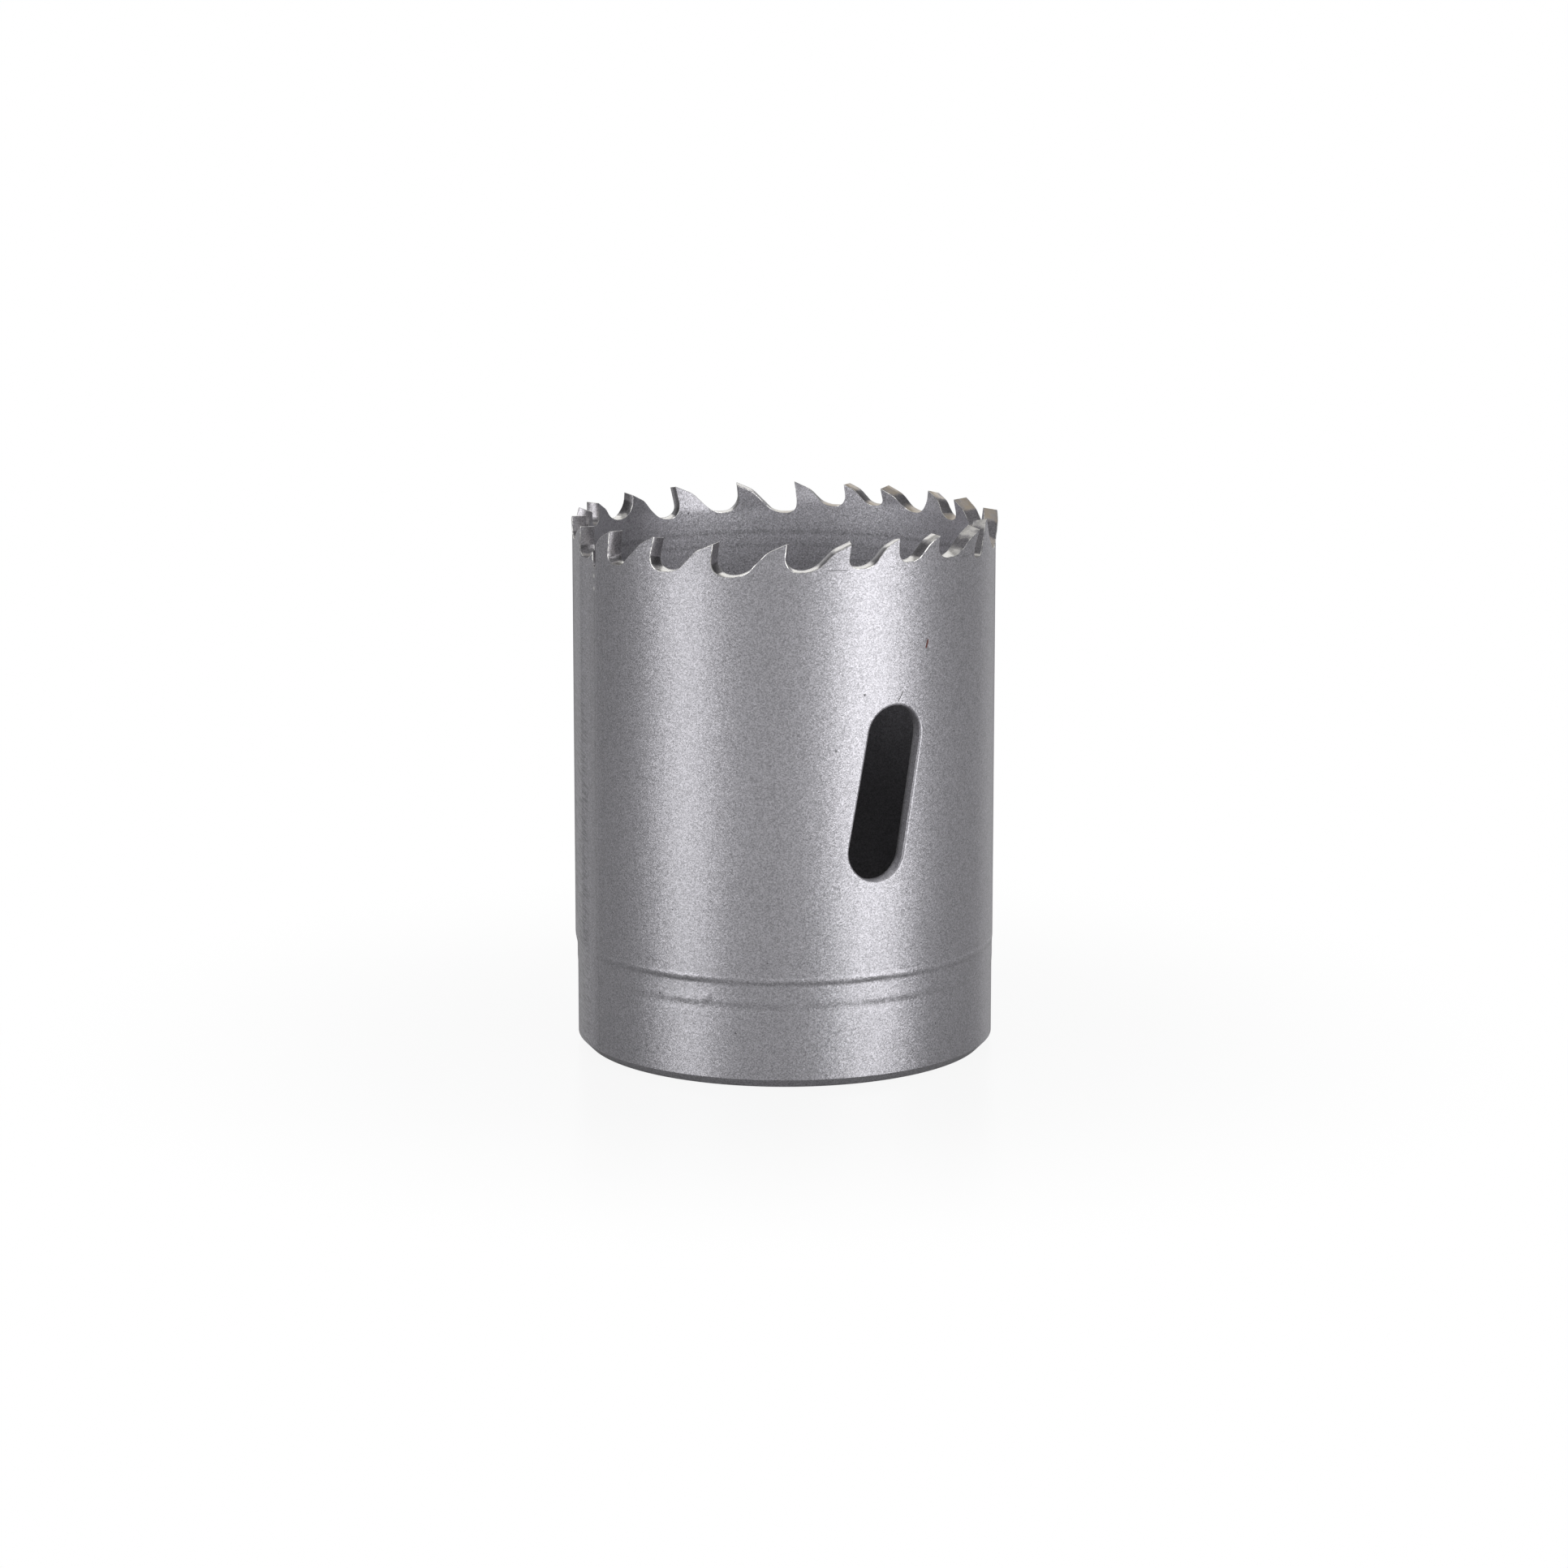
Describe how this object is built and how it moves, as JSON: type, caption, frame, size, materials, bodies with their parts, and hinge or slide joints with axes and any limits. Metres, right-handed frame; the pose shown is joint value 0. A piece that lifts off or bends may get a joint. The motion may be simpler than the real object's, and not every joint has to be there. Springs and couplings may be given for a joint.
{
  "type": "hole saw",
  "caption": "Cup-shaped hole saw for a drill: thin rolled steel shell with set saw teeth round the open end, slanted lever slots in the wall and a threaded back plate",
  "frame": {"origin": "on the axis, in the plane of the closed end that the saw stands on", "axes": "+Z along the axis from the closed end to the teeth; -Y through the middle of one lever slot and +Y through the other; -X at the weld seam of the shell"},
  "size_m": [0.0375, 0.0378, 0.048],
  "materials": {
    "shell_paint": "thin silver-grey metallic paint over steel, worn to bare metal on the tooth tips and in the gullets",
    "plate_steel": "turned steel with a light spray of the shell's paint"
  },
  "bodies": {
    "root": {"saw_shell": "shell_paint", "back_plate": "plate_steel"}
  },
  "joints": []
}
